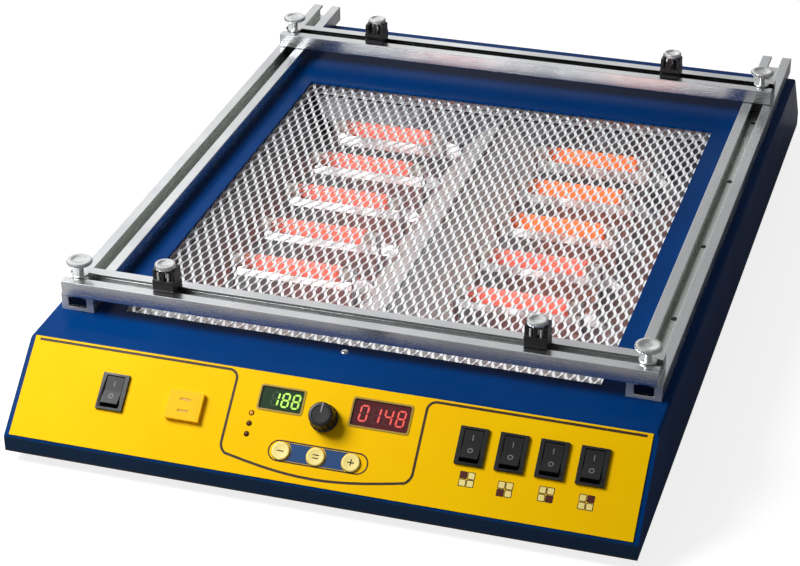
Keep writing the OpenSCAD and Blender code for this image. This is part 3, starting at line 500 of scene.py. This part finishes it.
def band(outer, inner, h0, h1, place=face_point, closed=True):
    """A flat band between two rows of points."""
    n = len(outer)
    verts = [place(u, v, h) for h in (h0, h1) for row in (outer, inner) for u, v in row]
    faces = []
    for i in range(n if closed else n - 1):
        j = (i + 1) % n
        a, b, c, d = i, j, n + j, n + i
        faces += [(a, b, c, d), (a + 2 * n, d + 2 * n, c + 2 * n, b + 2 * n)]
        faces += [(a, a + 2 * n, b + 2 * n, b), (d, c, c + 2 * n, d + 2 * n)]
    if not closed:
        faces += [(0, n, 3 * n, 2 * n), (n - 1, 3 * n - 1, 4 * n - 1, 2 * n - 1)]
    return verts, faces


def join(parts):
    verts, faces = [], []
    for v, f in parts:
        k = len(verts)
        verts += v
        faces += [tuple(i + k for i in face) for face in f]
    return verts, faces


def rectangle(u0, v0, u1, v1):
    return [(u0, v0), (u1, v0), (u1, v1), (u0, v1)]


def round_rect(cu, cv, w, h, r, n=6):
    """A rectangle about a middle, with corners of radius r in n steps each."""
    loop = []
    for k, (sx, sy) in enumerate(((1, 1), (-1, 1), (-1, -1), (1, -1))):
        middle = (cu + sx * (w / 2 - r), cv + sy * (h / 2 - r))
        loop += arc(middle, r, 90 * k, 90 * (k + 1), n)
    return loop


def arc(centre, r, a0, a1, n):
    """The n + 1 points of an arc from a0 to a1 degrees."""
    angles = [math.radians(a0 + (a1 - a0) * i / n) for i in range(n + 1)]
    return [(centre[0] + r * math.cos(a), centre[1] + r * math.sin(a)) for a in angles]


def stroke(path, width):
    """The two edges of a line of that width along a path."""
    left, right = [], []
    for i, p in enumerate(path):
        a = Vector(path[max(i - 1, 0)])
        b = Vector(path[min(i + 1, len(path) - 1)])
        d = (b - a).normalized()
        left.append((p[0] - d.y * width / 2, p[1] + d.x * width / 2))
        right.append((p[0] + d.y * width / 2, p[1] - d.x * width / 2))
    return left, right


def turned(profile, segments, flutes=0, depth=0.0):
    """A solid turned round Z: a row is radius, height and, where flutes are cut, "fluted"."""
    n = segments
    verts, faces = [(0, 0, profile[0][1])], []
    for r, z, *fluted in profile:
        for i in range(n):
            a = 2 * math.pi * i / n
            k = r - (depth * (0.5 + 0.5 * math.cos(flutes * a)) if fluted else 0)
            verts.append((k * math.cos(a), k * math.sin(a), z))
    verts.append((0, 0, profile[-1][1]))
    last = len(verts) - 1
    for i in range(n):
        j = (i + 1) % n
        faces.append((0, 1 + j, 1 + i))
        for k in range(len(profile) - 1):
            a = 1 + k * n
            faces.append((a + i, a + j, a + n + j, a + n + i))
        a = 1 + (len(profile) - 1) * n
        faces.append((a + i, a + j, last))
    return verts, faces


def tube_faces(rings, sides):
    """The walls of a tube through rings of points."""
    faces = []
    for i in range(rings - 1):
        for k in range(sides):
            a, b = i * sides + k, i * sides + (k + 1) % sides
            faces.append((a, b, b + sides, a + sides))
    return faces


def sweep(path, radius, sides):
    """A bar of that radius along a path of points."""
    path = [Vector(p) for p in path]
    verts = []
    ref = Vector((0, 0, 1))
    for i, p in enumerate(path):
        d = (path[min(i + 1, len(path) - 1)] - path[max(i - 1, 0)]).normalized()
        ref = ref - d * ref.dot(d)
        ref = ref.normalized() if ref.length > 1e-6 else d.orthogonal().normalized()
        other = d.cross(ref)
        for k in range(sides):
            a = 2 * math.pi * k / sides
            verts.append(tuple(p + radius * (math.cos(a) * ref + math.sin(a) * other)))
    faces = tube_faces(len(path), sides)
    faces.append(tuple(range(sides - 1, -1, -1)))
    faces.append(tuple(range(len(verts) - sides, len(verts))))
    return verts, faces


def moved(part, x, y):
    verts, faces = part
    return [(a + x, b + y, c) for a, b, c in verts], faces


def on_face(part, u, v, h=0.0):
    """Turns a part that stands on Z so that it stands on the control face."""
    verts, faces = part
    return [face_point(u + a, v - b, h + c) for a, b, c in verts], faces


def extent(node):
    """The middle, low corner and high corner of a node's box, in millimetres."""
    lo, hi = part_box(node)
    return (lo + hi) / 2 / MM, lo / MM, hi / MM


# ---- Expanded-metal grille ----

def expanded_mesh():
    """Strands side by side, each tilted as the expanding tool leaves it, meeting at the bonds."""
    way_x, way_y, bond, height = 6.9, 13.8, 3.6, 55.48
    wide, thick, tilt = 1.90, 0.30, math.radians(17)
    columns, rows, jitter = 84, 49, 0.04
    w = (math.cos(tilt) * wide / 2, math.sin(tilt) * wide / 2)
    t = (-math.sin(tilt) * thick / 2, math.cos(tilt) * thick / 2)
    corners = [(w[0] + t[0], w[1] + t[1]), (-w[0] + t[0], -w[1] + t[1]),
               (-w[0] - t[0], -w[1] - t[1]), (w[0] - t[0], w[1] - t[1])]
    strands = []
    for c in range(columns):
        x0 = (c + 0.5 - columns / 2) * way_x / 2
        verts = []
        for r in range(rows + 1):
            y0 = WIN_Y + (r - rows / 2) * way_y / 2
            swing = (way_x / 4 - w[0]) * (1 if (c + r) % 2 else -1)
            # Small waves, so that no two openings are quite alike
            lean = 0.05 * math.sin(c * 1.7 + r * 0.9) + rng.uniform(-jitter, jitter)
            lift = 0.03 * math.sin(c * 0.11 + r * 0.17)
            for y in (-bond / 2, bond / 2):
                for dx, dz in corners:
                    verts.append((x0 + swing + lean + dx, y0 + y, height + dz + lift))
        strands.append((verts, tube_faces(2 * (rows + 1), len(corners))))
    o = add("expanded_mesh", join(strands), MESH)
    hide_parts("grille")


expanded_mesh()


# ---- Lamp coils ----

def lamp_coils():
    """A wound coil between two straight leads in each tube."""
    turns, steps, length, coil_r = 36, 7, 46.0, 0.95
    wire_r, lead, shift, z0 = 0.24, 30.0, 3.0, Z_TOP - 10.0
    parts = []
    for x0 in COLUMNS:
        for row in range(LAMP_ROWS):
            y0 = WIN_Y + (row - 2.5) * LAMP_PITCH
            start, end = x0 + shift - length / 2, x0 + shift + length / 2
            path = [(x0 - lead, y0, z0), (start - 1, y0, z0)]
            for i in range(turns * steps + 1):
                a = 2 * math.pi * i / steps
                x = x0 + shift + length * (i / (turns * steps) - 0.5)
                path.append((x, y0 + coil_r * math.cos(a), z0 + coil_r * math.sin(a)))
            path += [(end + 1, y0, z0), (x0 + lead, y0, z0)]
            parts.append(sweep(path, wire_r, 3))
    o = add("lamp_coils", join(parts), COIL, smooth=60)
    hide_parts("lamp_filaments")


lamp_coils()


# ---- Sheets round the lamps ----

def reflector_folds():
    """Ridges across the floor of each reflector, between its lamps, the last one taller."""
    low, reach, crest, hip = 26.5, 50.0, 1.0, 10.0
    parts = []
    for x0 in COLUMNS:
        for row in range(LAMP_ROWS):
            y0 = WIN_Y + (row - 2) * LAMP_PITCH
            high, half = (34.0, 10.0) if row == LAMP_ROWS - 1 else (31.5, 7.0)
            foot = rectangle(x0 - reach, y0 - half, x0 + reach, y0 + half)
            ridge = rectangle(x0 - reach + hip, y0 - crest, x0 + reach - hip, y0 + crest)
            verts = [(x, y, low) for x, y in foot] + [(x, y, high) for x, y in ridge]
            parts.append((verts, prism_faces(4)))
    add("reflector_folds", join(parts), FOLD)


def reflector_rim():
    """Turned-out flange that closes the gap between the reflectors and the tray."""
    outer = rectangle(-145.0, WIN_Y - 169.0, 145.0, WIN_Y + 169.0)
    inner = rectangle(-139.6, WIN_Y - 135.0, 139.6, WIN_Y + 164.1)
    add("reflector_rim", band(outer, inner, 47.9, 48.6, level), DIVIDER)


def reflector_divider():
    """Bright roof-shaped sheet along the middle, between the two reflectors."""
    section = [(-29.5, 26.6), (-1.5, 48.3), (1.5, 48.3), (29.5, 26.6), (0.0, 26.6)]
    half = 163.5
    add("reflector_divider", prism(section, WIN_Y - half, WIN_Y + half, upright), DIVIDER)


def front_screw():
    """The small screw in the cover, in front of the window."""
    x, y = -4.0, -195.5
    rows = [(2.2, 57.3), (2.2, 57.6), (1.9, 58.1), (1.3, 58.4), (0.6, 58.5)]
    add("front_screw", moved(turned(rows, 20), x, y), STEEL, smooth=50)


reflector_folds()
reflector_rim()
reflector_divider()
front_screw()


# ---- Thumbscrews ----

SHANK_R, THREAD_CUT, THREAD_PITCH, KNURL = 2.0, 0.28, 0.8, 0.35
LOCK_SCREW = dict(seat=77.8, collar_r=5.0, collar_h=1.2, head_r=7.5, head_t=2.4, flutes=30)
CLAMP_SCREW = dict(seat=84.6, collar_r=3.0, collar_h=4.2, head_r=6.0, head_t=2.6, flutes=24)
PIN_APART, PIN_OUT = 2.9, 3.6     # from the clamp screw's axis: to each side, and outwards


def thread(z0, z1):
    """Profile rows of a threaded shank from z0 to z1."""
    rows, z = [], z0
    while z + THREAD_PITCH < z1:
        rows += [(SHANK_R - THREAD_CUT, z), (SHANK_R, z + THREAD_PITCH / 2)]
        z += THREAD_PITCH
    return rows + [(SHANK_R - 0.2, z1)]


def thumbscrew(node, seat, collar_r, collar_h, head_r, head_t, flutes):
    """A threaded shank, a collar that seats at a height, a neck and a knurled, dished head."""
    mid, lo, hi = extent(node)
    top, head, rest = hi.z, hi.z - head_t, seat + collar_h
    rows = thread(lo.z, seat)
    rows += [(collar_r - 0.3, seat), (collar_r, seat + 0.3), (collar_r, rest - 0.3),
             (collar_r - 0.3, rest), (SHANK_R, rest + 0.1), (SHANK_R, head)]
    rows += [(head_r - 0.8, head), (head_r - 0.35, head + 0.1), (head_r, head + 0.45, "fluted"),
             (head_r, top - 0.55, "fluted"), (head_r - 0.35, top - 0.15), (head_r - 0.9, top)]
    rows += [(head_r * 0.62, top), (head_r * 0.56, top - 0.25), (head_r * 0.2, top - 0.3)]
    part = moved(turned(rows, flutes * 4, flutes, KNURL), mid.x, mid.y)
    o = add(node + "_knurled", part, STEEL, body=node, smooth=38)
    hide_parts(node)


def clamp_pins(clamp, screw, toward):
    """Two bright guide pins between the ribs of a clamp, on its side toward the front or back."""
    axis = extent(screw)[0]
    pin = turned([(0.9, 84.3), (0.9, 89.0), (0.7, 89.3)], 16)
    y = axis.y - toward * PIN_OUT
    pins = [moved(pin, axis.x + side * PIN_APART, y) for side in (-1, 1)]
    add(clamp + "_pins", join(pins), STEEL, body=clamp, smooth=50)


CORNERS = [(end, side) for end in ("front", "back") for side in ("left", "right")]
for end, side in CORNERS:
    thumbscrew(f"lock_screw_{end}_{side}", **LOCK_SCREW)
    thumbscrew(f"clamp_screw_{end}_{side}", **CLAMP_SCREW)
for end, side in CORNERS:
    clamp_pins(f"clamp_{end}_{side}", f"clamp_screw_{end}_{side}", 1 if end == "front" else -1)


# ---- Control face: print ----

INK = (OVERLAY_T, OVERLAY_T + 0.06)     # the print's underside and top


def panel_line():
    """The line along the control face's top and round its middle, bowed below the buttons."""
    left = [(-174.0, 3.2)] + arc((-59.5, 8.2), 5.0, -90, 0, 7) + [(-54.5, 44.0)]
    left += arc((-47.5, 44.0), 7.0, 180, 120, 7)
    right = [(-u, v) for u, v in reversed(left)]
    (u0, v0), sag, n = left[-1], 6.3, 14
    bow = [(u0 * (1 - 2 * i / n), v0 + sag * math.sin(math.pi * i / n)) for i in range(1, n)]
    outer, inner = stroke(left + bow + right, 1.45)
    add("panel_line", band(outer, inner, *INK, closed=False), PRINT)


def pill():
    """The long outline round the buttons, and the blue strips between them."""
    u0, v0, w, h, line = 1, 43.8, 57.0, 12.2, 0.8
    outer = round_rect(u0, v0, w, h, h / 2 - 0.01, 10)
    inner = round_rect(u0, v0, w - 2 * line, h - 2 * line, h / 2 - 0.01 - line, 10)
    add("pill_outline", band(outer, inner, *INK), PRINT)
    strips = []
    for a, b in ((-20.0, 0.0), (0.0, 20.0)):
        left = arc((a, v0), 5.7, -62, 62, 8)
        right = [(a + b - u, v) for u, v in left]
        strips.append(band(left, right, *INK, closed=False))
    add("pill_strip", join(strips), STRIP)


def zone_marks():
    """Four cells under each zone switch, with the cell of its own zone filled."""
    spots = [(84.0, 42.2, 0), (105.2, 44.1, 2), (127.3, 43.1, 3), (149.0, 43.7, 1)]
    cell, gap, line = 4.1, 0.2, 0.4
    lines, filled, pale = [], [], []
    for u, v, own in spots:
        for k, (du, dv) in enumerate(((-1, -1), (1, -1), (-1, 1), (1, 1))):
            cu, cv = u + du * (cell + gap) / 2, v + dv * (cell + gap) / 2
            outer = round_rect(cu, cv, cell, cell, 0.5, 2)
            inner = round_rect(cu, cv, cell - 2 * line, cell - 2 * line, 0.3, 2)
            lines.append(band(outer, inner, *INK))
            (filled if k == own else pale).append(prism(inner, *INK))
    add("zone_mark_lines", join(lines), PRINT)
    add("zone_mark_filled", join(filled), DARK_RED)
    add("zone_mark_pale", join(pale), KEYCAP)


panel_line()
pill()
zone_marks()


# ---- Rocker marks ----

TILT, PIVOT_H = math.radians(8.0), -2.5     # the rockers' lean at rest, and their axis
ZONE_U, ZONE_PITCH = 83.0, 22.0             # the zone switches, along the control face

# A rocker's face: its middle's height over the axis, and how much it rises from there over
# half its length; and the marks' underside and top over that face
MIDDLE_H, RISE, HALF_L = 4.2, 1.4, 8.0
MARK_H = (-0.2, 0.04)


def rocker_marks(node, u, v):
    """A small ring and bar moulded in the rocker's two halves."""
    def place(x, down, h):
        y, z = -down, MIDDLE_H + RISE * abs(down) / HALF_L + h
        y, z = y * math.cos(TILT) + z * math.sin(TILT), z * math.cos(TILT) - y * math.sin(TILT)
        return face_point(u + x, v - y, PIVOT_H + z)

    outer, inner = (arc((0.0, 3.4), r, 0, 360, 20)[:-1] for r in (1.5, 1.0))
    bar = rectangle(-0.25, -5.4, 0.25, -2.4)
    marks = [band(outer, inner, *MARK_H, place), prism(bar, *MARK_H, place)]
    add(node + "_marks", join(marks), GREY, body=node)


rocker_marks("power_rocker", -123.0, 27.0)
for i in range(4):
    rocker_marks(f"zone_rocker_{i + 1}", ZONE_U + ZONE_PITCH * i, 24.3)


# ---- Contacts in the thermocouple socket ----

def socket_contacts():
    left, right, half = -82.3, -76.7, 0.4
    rows = (28.3 - 3.3, 28.3 + 3.3)
    parts = [prism(rectangle(left, v - half, right, v + half), -6.0, 3.2) for v in rows]
    add("socket_contacts", join(parts), CONTACT)


socket_contacts()


# ---- Displays ----

SEGMENTS = {"0": "abcdef", "1": "bc", "4": "bcfg", "8": "abcdefg"}
BARS = {"a": ((-1, -1), (1, -1)), "b": ((1, -1), (1, 0)), "c": ((1, 0), (1, 1)),
        "d": ((1, 1), (-1, 1)), "e": ((-1, 1), (-1, 0)), "f": ((-1, 0), (-1, -1)),
        "g": ((-1, 0), (1, 0))}
BAR_W, BAR_GAP, LEAN, DIGIT_H = 1.0, 0.2, 0.08, (0.02, 0.10)


def digit(char, cu, cv, w, h):
    """Seven bars of a digit, as lit and unlit lists."""
    lit, off = [], []
    for key, (a, b) in BARS.items():
        p = Vector((a[0] * w / 2, a[1] * h / 2))
        q = Vector((b[0] * w / 2, b[1] * h / 2))
        d = (q - p).normalized()
        side = Vector((-d.y, d.x)) * BAR_W / 2
        p, q = p + d * BAR_W * BAR_GAP, q - d * BAR_W * BAR_GAP
        near, far = p + d * BAR_W / 2, q - d * BAR_W / 2
        hexagon = [p, near + side, far + side, q, far - side, near - side]
        loop = [(cu + s.x - LEAN * s.y, cv + s.y) for s in hexagon]
        (lit if key in SEGMENTS[char] else off).append(prism(loop, *DIGIT_H))
    return lit, off


DISPLAY_V = 15.6


def display(name, text, u, window, pitch, size, shift, lit_finish, off_finish):
    """Digits, moved by shift from the window's middle, and the window's raised frame."""
    v = DISPLAY_V
    lit, off = [], []
    for i, char in enumerate(text):
        a, b = digit(char, u + shift + (i - (len(text) - 1) / 2) * pitch, v, *size)
        lit += a
        off += b
    add(name + "_digits", join(lit), lit_finish)
    add(name + "_unlit", join(off), off_finish)
    w, l = window
    outer = round_rect(u, v, w + 1.4, l + 1.4, 1.8)
    inner = round_rect(u, v, w - 0.6, l - 0.6, 1.2)
    add(name + "_frame", band(outer, inner, OVERLAY_T - 0.1, OVERLAY_T + 0.35), FRAME)


display("green_display", "188", u=-26.6, window=(25.0, 13.4), pitch=6.0, size=(3.6, 7.6),
        shift=2.2, lit_finish=GREEN_LIT, off_finish=GREEN_OFF)
display("red_display", "0148", u=30.3, window=(33.0, 15.6), pitch=7.0, size=(4.0, 8.6),
        shift=0.6, lit_finish=RED_LIT, off_finish=RED_OFF)


# ---- Indicator lights ----

def indicator_domes():
    """Three domes in a column, of which the upper one is lit."""
    u, v, pitch = -41.5, 25.6, 6.0
    rows = [(1.05, -0.3), (1.05, 0.25), (0.9, 0.55), (0.6, 0.76), (0.25, 0.85)]
    for i, (label, finish) in enumerate((("upper", LED_LIT), ("middle", LED), ("lower", LED))):
        part = on_face(turned(rows, 20), u, v + pitch * i, OVERLAY_T)
        add(f"indicator_dome_{label}", part, finish, smooth=50)


indicator_domes()


# ---- Buttons ----

MINUS = [[(-1.9, 0), (1.9, 0)]]
PLUS = MINUS + [[(0, -1.9), (0, 1.9)]]
TWO_BARS = [[(-1.8, -0.9), (1.8, -0.9)], [(-1.8, 0.9), (1.8, 0.9)]]
SIGN_W, SIGN_H = 0.55, (1.70, 1.90)


def button(node, u, sign):
    """A dished cap with a printed sign, given as the paths of its strokes."""
    rows = [(4.9, -1.5), (5.0, -1.2), (5.0, 1.75), (4.8, 1.95), (4.3, 2.0),
            (3.6, 1.9), (1.6, 1.78), (0.4, 1.76)]
    part = on_face(turned(rows, 48), u, BUTTON_V)
    o = add(node + "_cap", part, KEYCAP, body=node, smooth=40)
    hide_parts(node)
    strokes = []
    for path in sign:
        outer, inner = stroke([(u + a, BUTTON_V + b) for a, b in path], SIGN_W)
        strokes.append(band(outer, inner, *SIGN_H, closed=False))
    add(node + "_sign", join(strokes), PRINT, body=node)


button("left_button", -20.0, MINUS)
button("middle_button", 0.0, TWO_BARS)
button("right_button", 20.0, PLUS)


# ---- Dial ----

def dial():
    """A fluted knob with a skirt and a raised line on top."""
    rows = [(3.0, 2.15), (7.7, 2.15), (8.0, 2.5), (8.0, 3.4), (7.75, 3.8, "fluted"),
            (7.3, 8.0, "fluted"), (7.1, 10.0, "fluted"), (6.8, 10.7), (6.2, 11.08),
            (5.2, 11.1), (4.8, 10.8), (1.5, 10.75)]
    part = on_face(turned(rows, 96, flutes=16, depth=0.7), 0.0, 22.5)
    o = add("dial_knob_fluted", part, BLACK, body="dial_knob", smooth=35)
    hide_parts("dial_knob")
    outer, inner = stroke([(0.0, 16.2), (0.0, 21.5)], 0.9)
    add("dial_pointer", band(outer, inner, 10.7, 11.1, closed=False), GREY, body="dial_knob")


dial()


# ---- Stage and light: lengths in metres, power in watts ----

FLOOR_HALF, FLOOR_GLOW = 6.0, 0.82

# What the world gives to soft light, and to what mirrors its left and its right side
SOFT_LEVEL, LEFT_LEVEL, RIGHT_LEVEL = 0.12, 0.97, 0.28
TURN = (-0.10, -0.25)     # the directions' X between which the one gives way to the other

# Name, place, aim, width and power
LIGHTS = (
    ("key", (-0.50, -0.36, 0.70), (0.0, -0.05, 0.03), 0.5, 9.0),
    ("rim", (-0.75, 0.75, 0.60), (-0.1, 0.0, 0.05), 0.6, 0.3),
    ("back", (-0.15, 1.35, 0.38), (0.0, 0.25, 0.03), 0.7, 0.4),
)


def background_rays(t):
    """The tree's Light Path node, and a mask of the rays that show the background as it is."""
    path = t.nodes.new("ShaderNodeLightPath")
    return path, either(t, path.outputs["Is Camera Ray"], path.outputs["Is Transmission Ray"])


def stage():
    """A pale floor that keeps the shadow."""
    me = bpy.data.meshes.new("floor")
    loop = rectangle(-FLOOR_HALF, -FLOOR_HALF, FLOOR_HALF, FLOOR_HALF)
    me.from_pydata([(x, y, 0) for x, y in loop], [], [(0, 1, 2, 3)])
    m = bpy.data.materials.new("pale_floor")
    m.use_nodes = True
    t = m.node_tree
    shader(t)["Base Color"].default_value = (0.40, 0.40, 0.40, 1)
    shader(t)["Roughness"].default_value = 0.6
    shader(t)["Emission Color"].default_value = (1, 1, 1, 1)
    _, seen = background_rays(t)
    t.links.new(maths(t, "MULTIPLY", seen, FLOOR_GLOW), shader(t)["Emission Strength"])
    me.materials.append(m)
    o = shown("floor", me)


def studio():
    """A white world, bright to the left and dimmer to the right where metal mirrors it."""
    world = bpy.data.worlds.new("studio")
    world.use_nodes = True
    bpy.context.scene.world = world
    t = world.node_tree
    back = t.nodes["Background"]
    back.inputs["Color"].default_value = (1, 1, 1, 1)
    path, seen = background_rays(t)
    split = t.nodes.new("ShaderNodeSeparateXYZ")
    way = t.nodes.new("ShaderNodeTexCoord").outputs["Generated"]
    t.links.new(way, split.inputs["Vector"])
    leftward = ramp(t, split.outputs["X"], *TURN)
    extra = maths(t, "ADD", maths(t, "MULTIPLY", leftward, LEFT_LEVEL - RIGHT_LEVEL),
                  RIGHT_LEVEL - SOFT_LEVEL)
    mirrored = maths(t, "MULTIPLY", path.outputs["Is Glossy Ray"], extra)
    strength = maths(t, "ADD", maths(t, "MULTIPLY", seen, 1.0 - SOFT_LEVEL),
                     maths(t, "ADD", mirrored, SOFT_LEVEL))
    t.links.new(strength, back.inputs["Strength"])


def area_light(name, place, aim, size, power):
    data = bpy.data.lights.new(name, "AREA")
    data.shape, data.size, data.energy = "DISK", size, power
    o = shown(name, data)
    o.location = place
    o.rotation_mode = "QUATERNION"
    o.rotation_quaternion = (Vector(aim) - Vector(place)).to_track_quat("-Z", "Y")


stage()
studio()
for row in LIGHTS:
    area_light(*row)
bpy.context.scene.view_settings.view_transform = "Standard"
